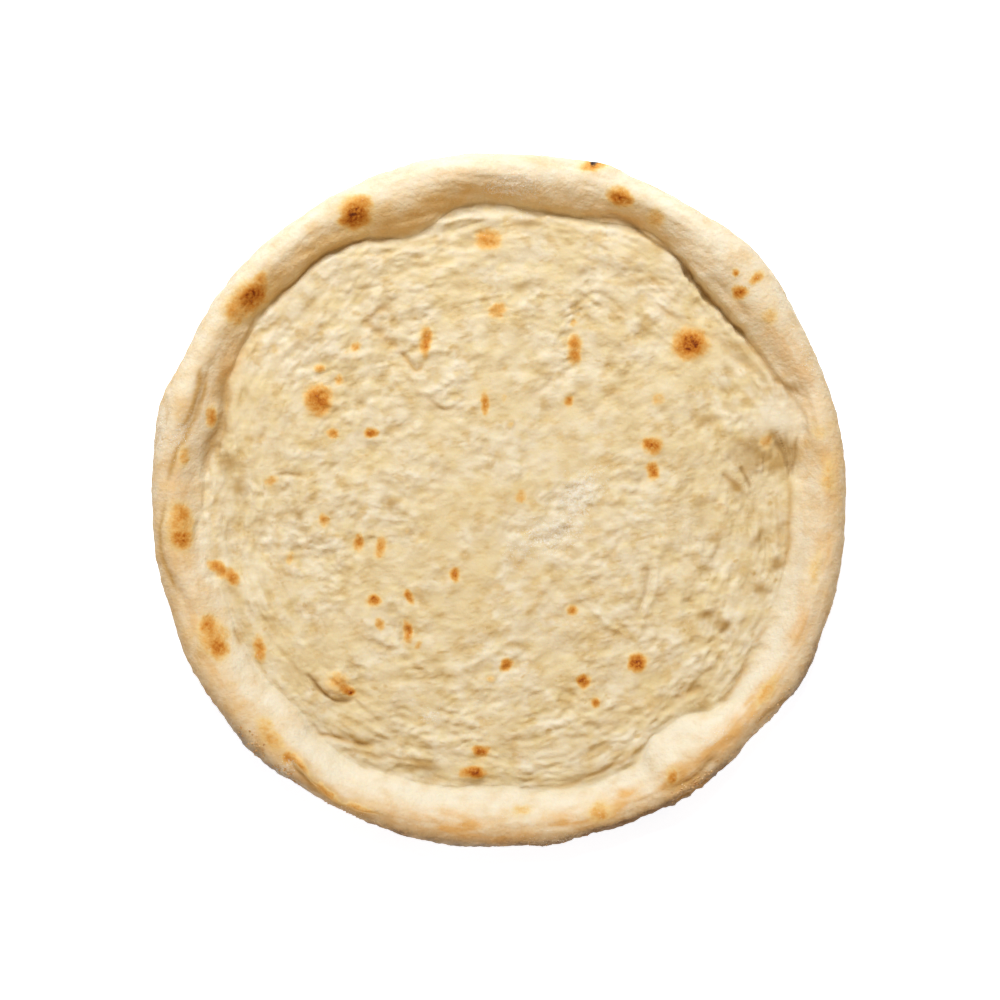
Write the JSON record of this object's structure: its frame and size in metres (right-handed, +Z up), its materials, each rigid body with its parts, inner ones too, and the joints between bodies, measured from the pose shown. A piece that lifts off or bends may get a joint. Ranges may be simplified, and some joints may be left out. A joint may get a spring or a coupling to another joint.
{
  "type": "pizza base",
  "caption": "Round par-baked pizza base with a puffed, uneven rim around a shallow rippled floor that takes the topping.",
  "frame": {"origin": "on the surface it lies on, under the middle of the round (bottom centre of the bounding box)", "axes": "+Z up out of the open, topping side; +Y towards the top edge of the round as seen from above, the side with the dark spot on its outer edge; +X to the right"},
  "size_m": [0.2988, 0.2984, 0.0188],
  "materials": {
    "crust": "dry baked dough: matt cream skin with golden-brown oven spots and a little flour"
  },
  "bodies": {
    "root": {"pizza_base": "crust"}
  },
  "joints": []
}
